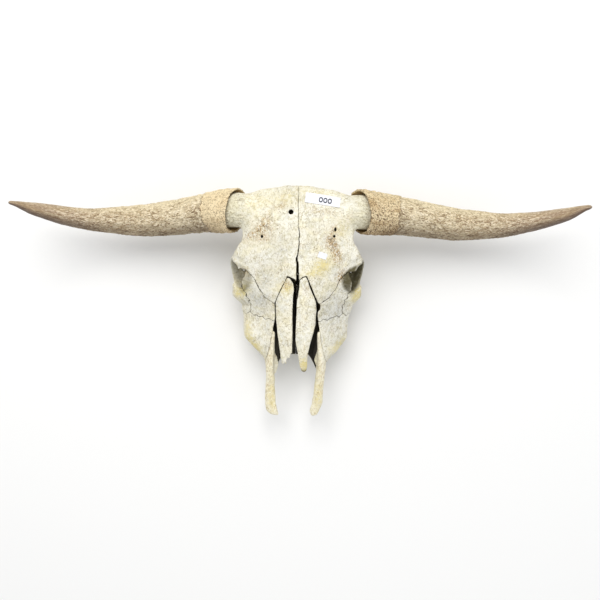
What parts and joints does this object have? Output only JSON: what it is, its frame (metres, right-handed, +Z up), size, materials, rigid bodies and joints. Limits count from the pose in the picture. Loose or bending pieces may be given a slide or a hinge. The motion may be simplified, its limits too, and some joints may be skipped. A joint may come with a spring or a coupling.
{
  "type": "longhorn steer skull",
  "caption": "Dry cattle skull without its lower jaw, with long horns in their sheaths, open sutures and paper slips on the forehead, lying as it rests.",
  "frame": {"origin": "middle of the bounding box's underside, on the floor that the skull rests on", "axes": "+X to the animal's left along the horns, +Y from the nose to the poll, +Z up from the floor"},
  "size_m": [1.204, 0.4881, 0.2011],
  "materials": {
    "bone": "dry weathered bone, porous and matt",
    "horn": "rough fibrous horn, smoother towards the tip",
    "paper": "plain matt paper"
  },
  "bodies": {
    "root": {"frontal_left": "bone", "frontal_right": "bone", "lacrimal_left": "bone", "lacrimal_right": "bone", "zygomatic_left": "bone", "zygomatic_right": "bone", "temporal_left": "bone", "temporal_right": "bone", "maxilla_left": "bone", "maxilla_right": "bone", "sphenoid_palatine": "bone", "occipital": "bone", "nasal_left": "bone", "nasal_right": "bone", "premaxilla_left": "bone", "premaxilla_right": "bone", "horn_sheath_left": "horn", "horn_sheath_right": "horn", "label_large": "paper", "label_small": "paper"}
  },
  "joints": []
}
